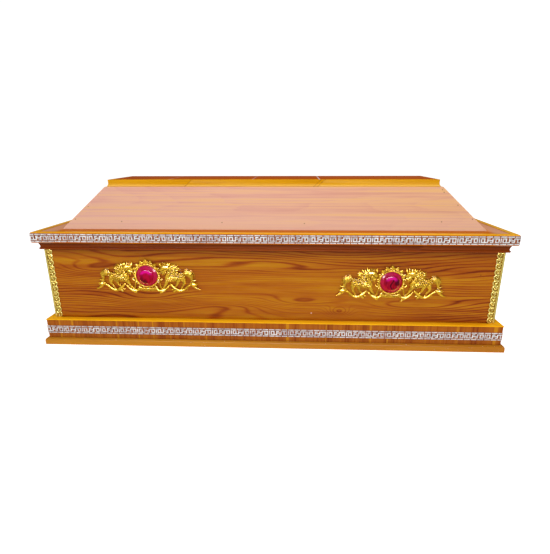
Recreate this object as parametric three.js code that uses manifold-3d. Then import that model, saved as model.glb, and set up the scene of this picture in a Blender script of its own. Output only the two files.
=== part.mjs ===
// A wooden coffin with a hipped lift-off lid, a plinth, silver key strips, gilt corner trims
// and gilt ornaments of two beasts beside a red jewel.
// Millimetres, +Z up, +X along the length. The front faces -Y. The origin is under its middle.
import * as THREE from 'three';
import { mergeVertices } from 'three/addons/utils/BufferGeometryUtils.js';
import Module from 'manifold-3d';

const wasm = await Module();
wasm.setup();

// The box
const insideLength = 1900;
const insideWidth = 580;
const insideDepth = 447;
const wallThickness = 18;
const bottomThickness = 18;

// The plinth round its foot
const plinthHeight = 114;
const plinthThickness = 29;
const skirtingHeight = 30;
const skirtingThickness = 14;
const skirtingRound = 11;
const ledgeThickness = 4;
const ledgeWidth = 31;
const ledgeNose = 2;

// The collar under the lid
const collarHeight = 32;
const collarBead = 14;
const collarCove = 10;
const collarCrown = 16;
const collarBeadHeight = 6.5;
const collarCoveFoot = 11;
const collarEdge = 2;

// The lid's flat rim
const lidOverhang = 32;
const rimThickness = 42;
const rimBoardWidth = 124;
const borderWidth = 24;
const borderThickness = 3;
const borderSetback = 1;
const borderEase = 1.5;

// The lid's slopes
const slopeRise = 174;
const slopeThickness = 18;
const slopeSetbackEnd = 88;
const slopeSetbackFront = 96;
const slopeRunEnd = 166;
const slopeRunFront = 98;

// The lid's top
const topHeight = 31;
const topSetbackEnd = 13;
const topMouldingThickness = 10;
const topLipHeight = 9;
const topLipDepth = 3;
const topLipRound = 2.6;
const topHollow = 0.8;
const topEase = 1.6;
const leftScarfX = -366;
const rightScarfX = 222;
const scarfLean = 34;

// The silver key strips
const stripHeight = 36;
const stripThickness = 1.4;
const stripRimWidth = 5;
const stripRimRaise = 0.8;
const rimStripDrop = 2;
const plinthStripDrop = 27;

// The gilt corner trims
const trimLeg = 32;
const trimThickness = 2;
const scallopPitch = 24;
const scallopDepth = 6;
const scallopSteps = 3;

// The gilt ornaments and their jewels
const leftOrnamentFromEnd = 439;
const rightOrnamentFromEnd = 451;
const leftOrnamentRise = 199;
const rightOrnamentRise = 181;
const jewelRadius = 46.5;
const jewelEdge = 6;
const jewelDome = 13;
const settingWidth = 8;
const settingThickness = 9;
const settingSwell = 4;
const crestRise = 26;
const crestNotch = 0.45;
const beastReach = 227;
const pedestalHalfWidth = 42;
const pedestalDrop = 66;
const pedestalHeight = 17;
const pedestalThickness = 8;

// Gaps left where pieces meet on cut or turned faces
const mitreGap = 0.3;
const seatGap = 0.3;

// What follows from them
const boxLength = insideLength + 2 * wallThickness;
const boxWidth = insideWidth + 2 * wallThickness;
const boxTop = bottomThickness + insideDepth;
const ledgeTop = plinthHeight + ledgeThickness;
const rimTop = boxTop + rimThickness;
const slopeTop = rimTop + slopeRise;
const lidTop = slopeTop + topHeight;
const boxOutline = { length: boxLength, width: boxWidth };
const rimOutline = { length: boxLength + 2 * lidOverhang, width: boxWidth + 2 * lidOverhang };
const slopeHead = {
  length: rimOutline.length - 2 * (slopeSetbackEnd + slopeRunEnd),
  width: rimOutline.width - 2 * (slopeSetbackFront + slopeRunFront),
};
const topOutline = { length: slopeHead.length - 2 * topSetbackEnd, width: slopeHead.width };

const coffin = new THREE.Group();

const finishes = {
  body: finish(0xa9631c, 0.3, 0),
  plinth: finish(0x96521a, 0.35, 0),
  skirting: finish(0xb87a28, 0.35, 0),
  collar: finish(0x7a3210, 0.3, 0),
  rim: finish(0xa0623a, 0.3, 0),
  yellow: finish(0xdc9c14, 0.35, 0),
  slope: finish(0xe6b496, 0.45, 0),
  top: finish(0x8a3a12, 0.35, 0),
  inside: finish(0xb98a58, 0.7, 0),
  silver: finish(0xd8d4d0, 0.25, 0.9),
  gilt: finish(0xe6b92c, 0.25, 0.9),
  jewel: finish(0xa8102a, 0.08, 0),
};

function finish(colour, roughness, metalness) {
  return new THREE.MeshStandardMaterial({ color: colour, roughness, metalness, flatShading: true });
}

function addPiece(name, geometry, material, home = coffin) {
  const mesh = new THREE.Mesh(geometry, material);
  mesh.name = name;
  home.add(mesh);
  return mesh;
}

function board(lowest, highest) {
  const low = new THREE.Vector3(...lowest);
  const high = new THREE.Vector3(...highest);
  const size = high.clone().sub(low);
  const middle = low.clone().add(high).multiplyScalar(0.5);
  return new THREE.BoxGeometry(size.x, size.y, size.z).translate(middle.x, middle.y, middle.z);
}

function fromTriangles(corners, triangles) {
  const geometry = new THREE.BufferGeometry();
  geometry.setAttribute('position', new THREE.Float32BufferAttribute(corners.flat(), 3));
  geometry.setIndex(triangles.flat());
  return geometry;
}

// The four sides of a rectangle, each turned from the front
const sides = {
  front: { along: 'length', across: 'width', turn: (along, out, up) => [along, -out, up] },
  right: { along: 'width', across: 'length', turn: (along, out, up) => [out, along, up] },
  back: { along: 'length', across: 'width', turn: (along, out, up) => [-along, out, up] },
  left: { along: 'width', across: 'length', turn: (along, out, up) => [-out, -along, up] },
};

// One length of moulding on one side of an outline. The section's corners are { front, end, up }:
// how far they stand out from the outline on the long and on the short sides, and their height.
// Each end is a mitre unless a rule for its place along the side is given.
function moulding(section, outline, sideName, startAt, endAt) {
  const side = sides[sideName];
  const isLong = side.along === 'length';
  const mitre = (corner) => outline[side.along] / 2 + (isLong ? corner.end : corner.front) - mitreGap / 2;
  const out = (corner) => outline[side.across] / 2 + (isLong ? corner.front : corner.end);
  const start = startAt ?? ((corner) => -mitre(corner));
  const end = endAt ?? mitre;
  const corners = [
    ...section.map((corner) => side.turn(start(corner), out(corner), corner.up)),
    ...section.map((corner) => side.turn(end(corner), out(corner), corner.up)),
  ];
  const count = section.length;
  const flat = section.map((corner) => new THREE.Vector2(corner.front, corner.up));
  const caps = THREE.ShapeUtils.triangulateShape(flat, []);
  const triangles = [];
  for (const [a, b, c] of caps) {
    triangles.push([a, b, c], [a + count, c + count, b + count]);
  }
  for (let corner = 0; corner < count; corner += 1) {
    const next = (corner + 1) % count;
    triangles.push([corner, corner + count, next], [next, corner + count, next + count]);
  }
  return fromTriangles(corners, triangles);
}

// A section of [out, up] corners that is the same on all four sides
function evenSection(corners) {
  return corners.map(([out, up]) => ({ front: out, end: out, up }));
}

function mouldingAllRound(name, section, outline, material, sideNames = Object.keys(sides)) {
  for (const sideName of sideNames) {
    addPiece(`${name}_${sideName}`, moulding(section, outline, sideName), material);
  }
}

function quarterRound(centreOut, centreUp, radius, steps) {
  return Array.from({ length: steps + 1 }, (_, step) => {
    const angle = (step / steps) * Math.PI / 2;
    return [centreOut + radius * Math.cos(angle), centreUp + radius * Math.sin(angle)];
  });
}

// The box: a bottom board between four upright walls
function makeBox() {
  const halfLength = boxLength / 2;
  const halfWidth = boxWidth / 2;
  const innerLength = insideLength / 2;
  const innerWidth = insideWidth / 2;
  const bottom = board([-innerLength, -innerWidth, 0], [innerLength, innerWidth, bottomThickness]);
  addPiece('bottom_board', bottom, finishes.inside);
  const walls = {
    front: [[-halfLength, -halfWidth, 0], [halfLength, -innerWidth, boxTop]],
    back: [[-halfLength, innerWidth, 0], [halfLength, halfWidth, boxTop]],
    left: [[-halfLength, -innerWidth, 0], [-innerLength, innerWidth, boxTop]],
    right: [[innerLength, -innerWidth, 0], [halfLength, innerWidth, boxTop]],
  };
  for (const [place, [lowest, highest]] of Object.entries(walls)) {
    addPiece(`wall_${place}`, board(lowest, highest), finishes.body);
  }
}

// The plinth: boards, a rounded skirting along their foot, and a ledge strip on their top
function makePlinth() {
  const face = plinthThickness;
  const boards = evenSection([[0, 0], [face, 0], [face, plinthHeight], [0, plinthHeight]]);
  mouldingAllRound('plinth', boards, boxOutline, finishes.plinth);
  const nose = face + skirtingThickness;
  const skirting = evenSection([
    [face, 0],
    [nose, 0],
    ...quarterRound(nose - skirtingRound, skirtingHeight - skirtingRound, skirtingRound, 4),
    [face, skirtingHeight],
  ]);
  mouldingAllRound('skirting', skirting, boxOutline, finishes.skirting);
  const ledge = evenSection([
    [0, plinthHeight],
    [ledgeWidth, plinthHeight],
    ...quarterRound(ledgeWidth - ledgeNose, ledgeTop - ledgeNose, ledgeNose, 2),
    [0, ledgeTop],
  ]);
  mouldingAllRound('ledge', ledge, boxOutline, finishes.yellow);
}

// The collar: a bead at its foot, a hollow, and a crown that spreads under the lid
function makeCollar() {
  const foot = boxTop - collarHeight;
  const coveFoot = foot + collarCoveFoot;
  const section = [
    [0, foot],
    [collarBead - collarEdge, foot],
    [collarBead, foot + collarEdge],
    [collarBead, foot + collarBeadHeight],
  ];
  const steps = 3;
  for (let step = 0; step <= steps; step += 1) {
    const share = step / steps;
    const spread = collarCove + (collarCrown - collarCove) * share * share;
    section.push([spread, coveFoot + (boxTop - collarEdge - coveFoot) * share]);
  }
  section.push([collarCrown, boxTop], [0, boxTop]);
  mouldingAllRound('collar', evenSection(section), boxOutline, finishes.collar);
}

// A key strip is a thin band with a raised rim along both edges
function makeKeyStrips(name, outline, face, top) {
  const foot = top - stripHeight;
  const plain = face + stripThickness;
  const raised = plain + stripRimRaise;
  const section = evenSection([
    [face, foot],
    [raised, foot],
    [raised, foot + stripRimWidth],
    [plain, foot + stripRimWidth],
    [plain, top - stripRimWidth],
    [raised, top - stripRimWidth],
    [raised, top],
    [face, top],
  ]);
  mouldingAllRound(name, section, outline, finishes.silver);
}

// The lid's rim: four flat boards with a yellow border strip along their outer edge
function makeLidRim() {
  const boards = evenSection([[-rimBoardWidth, boxTop], [0, boxTop], [0, rimTop], [-rimBoardWidth, rimTop]]);
  mouldingAllRound('lid_rim', boards, rimOutline, finishes.rim);
  const inner = -borderSetback - borderWidth;
  const borderTop = rimTop + borderThickness;
  const border = evenSection([
    [inner, rimTop],
    [-borderSetback, rimTop],
    [-borderSetback, borderTop - borderEase],
    [-borderSetback - borderEase, borderTop],
    [inner, borderTop],
  ]);
  mouldingAllRound('lid_border', border, rimOutline, finishes.yellow);
}

// The lid's slopes: four boards that lean in and are mitred along the hips
function makeLidSlopes() {
  const frontReach = slopeThickness * Math.hypot(slopeRunFront, slopeRise) / slopeRise;
  const endReach = slopeThickness * Math.hypot(slopeRunEnd, slopeRise) / slopeRise;
  const foot = { front: -slopeSetbackFront, end: -slopeSetbackEnd, up: rimTop };
  const head = { front: foot.front - slopeRunFront, end: foot.end - slopeRunEnd, up: slopeTop };
  const inward = ({ front, end, up }) => ({ front: front - frontReach, end: end - endReach, up });
  mouldingAllRound('lid_slope', [foot, head, inward(head), inward(foot)], rimOutline, finishes.slope);
}

// The lid's top: a board edged by a moulding, which is spliced twice along the front
function makeLidTop() {
  const halfLength = topOutline.length / 2 - topMouldingThickness;
  const halfWidth = topOutline.width / 2 - topMouldingThickness;
  const top = board([-halfLength, -halfWidth, slopeTop], [halfLength, halfWidth, lidTop]);
  addPiece('lid_top_board', top, finishes.top);
  const face = -topLipDepth;
  const back = -topMouldingThickness;
  const lipTop = slopeTop + topLipHeight;
  const section = evenSection([
    [back, slopeTop],
    [-topLipRound / 2, slopeTop],
    [0, slopeTop + topLipRound],
    [0, lipTop - topLipRound],
    [face, lipTop],
    [face - topHollow, (lipTop + lidTop) / 2],
    [face, lidTop - topEase],
    [face - topEase, lidTop],
    [back, lidTop],
  ]);
  mouldingAllRound('lid_top_moulding', section, topOutline, finishes.yellow, ['back', 'left', 'right']);
  const scarf = (middle, gap) => (corner) => {
    const share = (corner.up - slopeTop) / topHeight - 0.5;
    return middle + scarfLean * share + gap;
  };
  const half = mitreGap / 2;
  const lengths = {
    front_left: [undefined, scarf(leftScarfX, -half)],
    front_middle: [scarf(leftScarfX, half), scarf(rightScarfX, -half)],
    front_right: [scarf(rightScarfX, half), undefined],
  };
  for (const [place, [startAt, endAt]] of Object.entries(lengths)) {
    const piece = moulding(section, topOutline, 'front', startAt, endAt);
    addPiece(`lid_top_moulding_${place}`, piece, finishes.yellow);
  }
}

function toManifold(geometry) {
  const bare = geometry.clone();
  bare.deleteAttribute('normal');
  bare.deleteAttribute('uv');
  const merged = mergeVertices(bare, 1e-4);
  return new wasm.Manifold(new wasm.Mesh({
    numProp: 3,
    vertProperties: new Float32Array(merged.attributes.position.array),
    triVerts: new Uint32Array(merged.index.array),
  }));
}

function toGeometry(solid) {
  const mesh = solid.getMesh();
  const geometry = new THREE.BufferGeometry();
  geometry.setAttribute('position', new THREE.Float32BufferAttribute(mesh.vertProperties, 3));
  geometry.setIndex(Array.from(mesh.triVerts));
  return geometry;
}

function fuse(geometries) {
  return geometries.map(toManifold).reduce((joined, next) => joined.add(next));
}

// One leg of a corner trim, drawn upright: a straight edge on the corner and a scalloped free edge
function trimLegGeometry(height) {
  const count = Math.max(1, Math.round(height / scallopPitch));
  const pitch = height / count;
  const shape = new THREE.Shape();
  shape.moveTo(0, 0);
  for (let scallop = 0; scallop < count; scallop += 1) {
    for (let step = 0; step < scallopSteps; step += 1) {
      const share = step / scallopSteps;
      const bulge = scallopDepth * Math.sin(Math.PI * share);
      shape.lineTo(trimLeg - scallopDepth + bulge, (scallop + share) * pitch);
    }
  }
  shape.lineTo(trimLeg - scallopDepth, height);
  shape.lineTo(0, height);
  return new THREE.ExtrudeGeometry(shape, { depth: trimThickness, bevelEnabled: false });
}

// The corner trims: two scalloped legs that meet round each upright corner of the box
function makeCornerTrims() {
  const foot = ledgeTop + seatGap;
  const height = boxTop - collarHeight - seatGap - foot;
  const along = trimLegGeometry(height).rotateX(Math.PI / 2).translate(-trimThickness, 0, 0);
  const across = trimLegGeometry(height).rotateX(Math.PI / 2).rotateZ(Math.PI / 2);
  const angle = toGeometry(fuse([along, across.translate(-trimThickness, -trimThickness, 0)]));
  const corners = {
    front_left: { x: -1, y: -1, turn: 0 },
    front_right: { x: 1, y: -1, turn: Math.PI / 2 },
    back_right: { x: 1, y: 1, turn: Math.PI },
    back_left: { x: -1, y: 1, turn: -Math.PI / 2 },
  };
  for (const [place, corner] of Object.entries(corners)) {
    const trim = addPiece(`corner_trim_${place}`, angle, finishes.gilt);
    const out = seatGap;
    trim.position.set(corner.x * (boxLength / 2 + out), corner.y * (boxWidth / 2 + out), foot);
    trim.rotation.z = corner.turn;
  }
}

// Shapes of the ornament are drawn in its own plane: x to the right and y up from the jewel's centre.
// A stem is a rounded form with a flat back through a few places, each [x, y, width, depth].
function stem(places, section) {
  const corners = [];
  const triangles = [];
  const around = section.length;
  const points = places.map(([x, y]) => new THREE.Vector2(x, y));
  points.forEach((point, index) => {
    const before = points[Math.max(index - 1, 0)];
    const after = points[Math.min(index + 1, points.length - 1)];
    const heading = after.clone().sub(before).normalize();
    const [, , width, depth] = places[index];
    for (const [sideways, rise] of section) {
      const reach = sideways * width / 2;
      corners.push([point.x - heading.y * reach, point.y + heading.x * reach, rise * depth]);
    }
  });
  const lastRing = (points.length - 1) * around;
  const cap = THREE.ShapeUtils.triangulateShape(section.map(([x, y]) => new THREE.Vector2(x, y)), []);
  for (const [a, b, c] of cap) {
    triangles.push([a, c, b], [lastRing + a, lastRing + b, lastRing + c]);
  }
  for (let step = 0; step < around; step += 1) {
    const next = (step + 1) % around;
    for (let ring = 0; ring < lastRing; ring += around) {
      triangles.push([ring + step, ring + around + step, ring + next]);
      triangles.push([ring + next, ring + around + step, ring + around + next]);
    }
  }
  return fromTriangles(corners, triangles);
}

// A flat tuft of pointed locks round part of a circle
function tuft([x, y], depth, inner, outer, fromAngle, toAngle, locks) {
  const shape = new THREE.Shape();
  const place = (share, radius) => {
    const angle = THREE.MathUtils.degToRad(fromAngle + (toAngle - fromAngle) * share);
    return [radius * Math.cos(angle), radius * Math.sin(angle)];
  };
  shape.moveTo(...place(0, inner));
  for (let lock = 0; lock < locks; lock += 1) {
    shape.lineTo(...place((lock + 0.35) / locks, outer));
    shape.lineTo(...place((lock + 1) / locks, inner));
  }
  shape.lineTo(0, 0);
  return new THREE.ExtrudeGeometry(shape, { depth, bevelEnabled: false }).translate(x, y, 0);
}

// The setting round the jewel: a ring whose upper edge is a crest of leaves
function settingGeometry() {
  const shape = new THREE.Shape();
  const steps = 24;
  for (let step = 0; step < steps; step += 1) {
    const angle = (step / steps) * 2 * Math.PI;
    const upper = Math.max(0, Math.sin(angle));
    const leaf = step % 2 === 0 ? 1 : crestNotch;
    const radius = jewelRadius + settingWidth + crestRise * upper * upper * leaf + settingSwell * upper;
    const place = [radius * Math.cos(angle), radius * Math.sin(angle)];
    if (step === 0) {
      shape.moveTo(...place);
    } else {
      shape.lineTo(...place);
    }
  }
  const hole = new THREE.Path();
  const clear = jewelRadius + seatGap;
  const holeSteps = 16;
  const reach = clear / Math.cos(Math.PI / holeSteps);
  for (let step = 0; step < holeSteps; step += 1) {
    const angle = -(step / holeSteps) * 2 * Math.PI;
    const place = [reach * Math.cos(angle), reach * Math.sin(angle)];
    if (step === 0) {
      hole.moveTo(...place);
    } else {
      hole.lineTo(...place);
    }
  }
  shape.holes.push(hole);
  return new THREE.ExtrudeGeometry(shape, { depth: settingThickness, bevelEnabled: false });
}

// One beast on the left of the jewel, prancing towards it, with the vine that it treads on.
// It is drawn with the vine's outer tip at -227, and then scaled to its reach.
const drawnReach = 227;
function beastGeometries() {
  const body = [[-1, 0], [-0.75, 0.7], [0, 1], [0.75, 0.7], [1, 0]];
  const limb = [[-1, 0], [-0.6, 0.9], [0.6, 0.9], [1, 0]];
  return [
    stem([[-174, 0, 22, 9], [-154, 1, 38, 17], [-124, -4, 34, 15], [-98, -6, 42, 18],
      [-80, -10, 22, 11]], body),
    stem([[-102, 4, 38, 14], [-94, 28, 40, 18], [-74, 31, 22, 14], [-54, 19, 9, 8]], body),
    tuft([-100, 22], 10, 24, 42, 46, 208, 8),
    stem([[-156, -12, 26, 12], [-161, -28, 12, 9], [-146, -64, 9, 7]], limb),
    stem([[-142, -14, 18, 9], [-131, -36, 9, 7], [-114, -60, 8, 6]], limb),
    stem([[-92, -18, 24, 12], [-79, -38, 11, 9], [-60, -68, 8, 7]], limb),
    stem([[-64, -13, 7, 7], [-51, -20, 8, 8], [-57, -62, 6, 6]], limb),
    stem([[-160, 8, 12, 10], [-178, 23, 22, 13], [-195, 4, 20, 13], [-201, -34, 9, 8]], body),
    tuft([-182, 15], 8, 15, 24, 60, 215, 4),
    stem([[-184, -34, 6, 5], [-202, -38, 20, 12], [-227, -62, 4, 4]], limb),
    stem([[-198, -40, 8, 7], [-178, -46, 7, 6], [-156, -64, 8, 6], [-130, -62, 9, 7],
      [-101, -38, 6, 5]], limb),
    stem([[-92, -46, 6, 5], [-65, -71, 11, 7], [-36, -58, 9, 6]], limb),
  ];
}

// A whole ornament, cast in one, with a flat back
function ornamentGeometry() {
  const pedestalTop = pedestalHeight - pedestalDrop;
  const pedestal = board(
    [-pedestalHalfWidth, -pedestalDrop, 0],
    [pedestalHalfWidth, pedestalTop, pedestalThickness],
  );
  const beast = fuse(beastGeometries()).scale(beastReach / drawnReach);
  const mirrored = beast.mirror([1, 0, 0]);
  const casting = fuse([settingGeometry(), pedestal]).add(beast).add(mirrored);
  const jewelRoom = toManifold(jewelGeometry(seatGap));
  return toGeometry(casting.subtract(jewelRoom));
}

// The jewel: a bevelled edge and a low dome, turned about the axis out from the wall
function jewelGeometry(margin = 0) {
  const radius = jewelRadius + margin;
  const profile = [[0, -margin], [radius, -margin], [radius, jewelEdge + margin]];
  const steps = 3;
  for (let step = 1; step <= steps; step += 1) {
    const angle = (step / steps) * Math.PI / 2;
    profile.push([radius * Math.cos(angle), jewelEdge + margin + jewelDome * Math.sin(angle)]);
  }
  profile[profile.length - 1][0] = 0;
  const points = profile.map(([out, up]) => new THREE.Vector2(out, up));
  return new THREE.LatheGeometry(points, 16).rotateX(Math.PI / 2);
}

// Two ornaments on the front and two on the back, each with its jewel
function makeOrnaments() {
  const casting = ornamentGeometry();
  const jewel = jewelGeometry();
  const places = {
    left: { x: leftOrnamentFromEnd - boxLength / 2, z: ledgeTop + leftOrnamentRise },
    right: { x: boxLength / 2 - rightOrnamentFromEnd, z: ledgeTop + rightOrnamentRise },
  };
  const faces = {
    front: { y: -boxWidth / 2 - seatGap, turn: 0 },
    back: { y: boxWidth / 2 + seatGap, turn: Math.PI },
  };
  for (const [faceName, face] of Object.entries(faces)) {
    for (const [placeName, place] of Object.entries(places)) {
      const fixing = new THREE.Group();
      fixing.position.set(place.x, face.y, place.z);
      fixing.rotation.z = face.turn;
      const upright = new THREE.Group();
      upright.rotation.x = Math.PI / 2;
      fixing.add(upright);
      coffin.add(fixing);
      addPiece(`ornament_${faceName}_${placeName}`, casting, finishes.gilt, upright);
      addPiece(`jewel_${faceName}_${placeName}`, jewel, finishes.jewel, upright);
    }
  }
}

makeBox();
makePlinth();
makeCollar();
makeKeyStrips('plinth_key_strip', boxOutline, plinthThickness, plinthHeight - plinthStripDrop);
makeLidRim();
makeKeyStrips('lid_key_strip', rimOutline, 0, rimTop - rimStripDrop);
makeLidSlopes();
makeLidTop();
makeCornerTrims();
makeOrnaments();

export default coffin;
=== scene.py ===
"""The looks of the wooden coffin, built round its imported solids."""

import functools
import math
import random

import bmesh
import bpy
from mathutils import Matrix, Vector


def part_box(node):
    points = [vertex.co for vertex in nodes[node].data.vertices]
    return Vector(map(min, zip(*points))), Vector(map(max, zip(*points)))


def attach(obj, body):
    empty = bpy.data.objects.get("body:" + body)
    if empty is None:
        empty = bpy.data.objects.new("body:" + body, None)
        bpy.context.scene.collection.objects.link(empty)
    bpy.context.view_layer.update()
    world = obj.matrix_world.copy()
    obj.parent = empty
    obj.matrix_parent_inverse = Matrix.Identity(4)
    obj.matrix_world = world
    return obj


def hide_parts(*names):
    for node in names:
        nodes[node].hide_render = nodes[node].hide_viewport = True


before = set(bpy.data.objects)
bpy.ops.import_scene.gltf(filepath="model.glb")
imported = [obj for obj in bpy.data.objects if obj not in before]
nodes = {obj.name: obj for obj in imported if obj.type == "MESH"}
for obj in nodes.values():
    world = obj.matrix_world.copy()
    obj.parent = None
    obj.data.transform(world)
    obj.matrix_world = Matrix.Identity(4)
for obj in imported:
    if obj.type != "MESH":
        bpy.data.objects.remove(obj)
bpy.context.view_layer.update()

MM = 0.001
BODY = "root"
SIDES = ("front", "right", "back", "left")
# Whether a side's boards, and their grain, run along the width
TURNED = {"front": False, "right": True, "back": False, "left": True}
scene = bpy.context.scene

# Heights and faces of the solids in metres, by which the finishes place their marks
WALL_TOP = 0.433
WALL_FRONT = 0.308
WALL_END = 0.968
RIM_FOOT = 0.465
SLOPE_FOOT = 0.5
MOULDING_FOOT = 0.681
MOULDING_MIDDLE = 0.6965
MOULDING_FRONT = 0.14
JEWEL_HEIGHT = 0.299
JEWEL_OFF_MIDDLE = 0.5176


# Shader maths


class Field:
    """One output of a finish's nodes, on which sums and products add Math nodes."""

    def __init__(self, finish, socket):
        self.finish = finish
        self.socket = socket

    def worked(self, operation, *others):
        """What one Math node makes of this field and the others."""
        values = dict(enumerate((self, *others)))
        return self.finish.node("ShaderNodeMath", {"operation": operation}, values)

    def __add__(self, other):
        return self.worked("ADD", other)

    __radd__ = __add__

    def __sub__(self, other):
        return self.worked("SUBTRACT", other)

    def __rsub__(self, other):
        return self.finish.node("ShaderNodeMath", {"operation": "SUBTRACT"}, {0: other, 1: self})

    def __mul__(self, other):
        return self.worked("MULTIPLY", other)

    __rmul__ = __mul__

    def __pow__(self, other):
        return self.worked("POWER", other)

    def __neg__(self):
        return self.worked("MULTIPLY", -1)

    def __abs__(self):
        return self.worked("ABSOLUTE")

    def fraction(self):
        return self.worked("FRACT")

    def sine(self):
        return self.worked("SINE")

    def cosine(self):
        return self.worked("COSINE")

    def most(self, other):
        return self.worked("MAXIMUM", other)

    def eased(self, start, end):
        """0 below start, 1 above end, and smooth between them."""
        values = {"Value": self, "From Min": start, "From Max": end}
        return self.finish.node("ShaderNodeMapRange", {"interpolation_type": "SMOOTHSTEP"}, values)

    def close_to(self, level, start, end):
        """1 where the field is within start of a level, and 0 where it is further off than end."""
        return 1 - abs(self - level).eased(start, end)


def strongest(fields):
    """The greatest of several fields, everywhere."""
    return functools.reduce(Field.most, fields)


class Finish:
    """A material whose nodes are added by calls."""

    def __init__(self, name, roughness=0.4, metallic=0.0, ior=1.4, coat=0.0, coat_roughness=0.1):
        self.material = bpy.data.materials.new(name)
        self.material.use_nodes = True
        self.tree = self.material.node_tree
        self.shader = self.tree.nodes["Principled BSDF"]
        sockets = {"Roughness": roughness, "Metallic": metallic, "IOR": ior}
        coats = {"Coat Weight": coat, "Coat Roughness": coat_roughness}
        for socket, value in (sockets | coats).items():
            self.shader.inputs[socket].default_value = value

    def feed(self, inlet, value):
        """A field is linked to the inlet, and a plain value is set on it."""
        if isinstance(value, Field):
            self.tree.links.new(value.socket, inlet)
        else:
            inlet.default_value = value

    def node(self, kind, settings=None, values=None, outlet=0):
        """A new node with its settings and inlets, known by one of its outlets."""
        made = self.tree.nodes.new(kind)
        for key, value in (settings or {}).items():
            if key == "stops":
                stops = made.color_ramp.elements
                while len(stops) < len(value):
                    stops.new(1.0)
                for stop, (at, colour) in zip(stops, value):
                    stop.position = at
                    stop.color = colour
            else:
                setattr(made, key, value)
        for key, value in (values or {}).items():
            self.feed(made.inputs[key], value)
        return Field(self, made.outputs[outlet])

    def place(self, scale=(1, 1, 1), shift=(0, 0, 0), turned=False):
        """The place on the coffin, scaled along the grain first, then across it."""
        spot = self.node("ShaderNodeTexCoord", outlet="Object")
        if turned:
            turn = {"Vector": spot, "Rotation": (0, 0, math.radians(90))}
            spot = self.node("ShaderNodeMapping", values=turn)
        return self.node("ShaderNodeMapping", values={"Vector": spot, "Scale": scale, "Location": shift})

    def axis(self, name):
        """How far along X, Y or Z the place is, in metres."""
        spot = self.node("ShaderNodeTexCoord", outlet="Object")
        return self.node("ShaderNodeSeparateXYZ", values={"Vector": spot}, outlet=name)

    def noise(self, spot, scale=1.0, detail=2.0, roughness=0.5, distortion=0.0):
        values = {"Vector": spot, "Scale": scale, "Detail": detail, "Roughness": roughness}
        return self.node("ShaderNodeTexNoise", values=values | {"Distortion": distortion})

    def ramp(self, field, stops):
        return self.node("ShaderNodeValToRGB", {"stops": stops}, {"Fac": field})

    def mixed(self, share, first, second):
        """The first colour, with the second laid over it by its share."""
        return self.node("ShaderNodeMix", {"data_type": "RGBA"}, {0: share, 6: first, 7: second}, outlet=2)

    def near(self, point, radius):
        """1 round a point and 0 away from it, with the point and the radius in mm."""
        spot = self.node("ShaderNodeTexCoord", outlet="Object")
        centre = tuple(value * MM for value in point)
        away = self.node("ShaderNodeVectorMath", {"operation": "DISTANCE"}, {0: spot, 1: centre}, outlet=1)
        return 1 - away.eased(radius * MM * 0.6, radius * MM * 1.2)

    def specks(self, points, radius):
        return strongest(self.near(point, radius) for point in points)

    def finish(self, colour, texture=None, rough=None, bump=None, distance=0.0005):
        """A colour, and a texture that roughens from a least value by a share and raises a bump."""
        self.feed(self.shader.inputs["Base Color"], colour)
        if rough:
            least, share = rough
            self.feed(self.shader.inputs["Roughness"], texture * share + least)
        if bump:
            values = {"Height": texture, "Strength": bump, "Distance": distance}
            self.feed(self.shader.inputs["Normal"], self.node("ShaderNodeBump", values=values))
        return self


def tone(red, green, blue):
    """A colour as the eye reads it, 0 to 255, in the shader's own measure."""

    def straight(value):
        value /= 255
        return value / 12.92 if value <= 0.04045 else ((value + 0.055) / 1.055) ** 2.4

    return (straight(red), straight(green), straight(blue), 1)


# The wood finishes


def figured(finish, turned, stretch, rings, wander, shift=(0, 0, 0)):
    """Growth rings as a flat-sawn face cuts them: the level lines of a long smooth field."""
    along, across = stretch
    hills = finish.noise(finish.place((along, across, across), shift, turned), detail=1.5, roughness=0.4)
    ripple = finish.noise(finish.place((along * 7, across * 9, across * 9), shift, turned), detail=3)
    return (hills * rings + ripple * wander).fraction()


def swelling(finish, middle, reach):
    """1 at a place on a long wall, falling off like a bell, with middle and reach as x and z in mm."""
    level, upright = (
        ((finish.axis(name) - at * MM) * (1 / (width * MM))) ** 2
        for name, at, width in zip("XZ", middle, reach)
    )
    return (-(level + upright)).worked("EXPONENT")


def fibres(finish, turned, along, across):
    """Fine threads of the wood, by how often they vary along and across a metre."""
    return finish.noise(finish.place((along, across, across), (0, 0, 0), turned), detail=3, roughness=0.6)


def ringed(finish, rings, stops, turned=False, fibre=(8, 260), shares=(0.35, 0.5)):
    """Growth rings and fibres as one colour, and the fibres by themselves."""
    hair = fibres(finish, turned, *fibre)
    return finish.ramp(figured(finish, turned, *rings) * shares[0] + hair * shares[1], stops), hair


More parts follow.
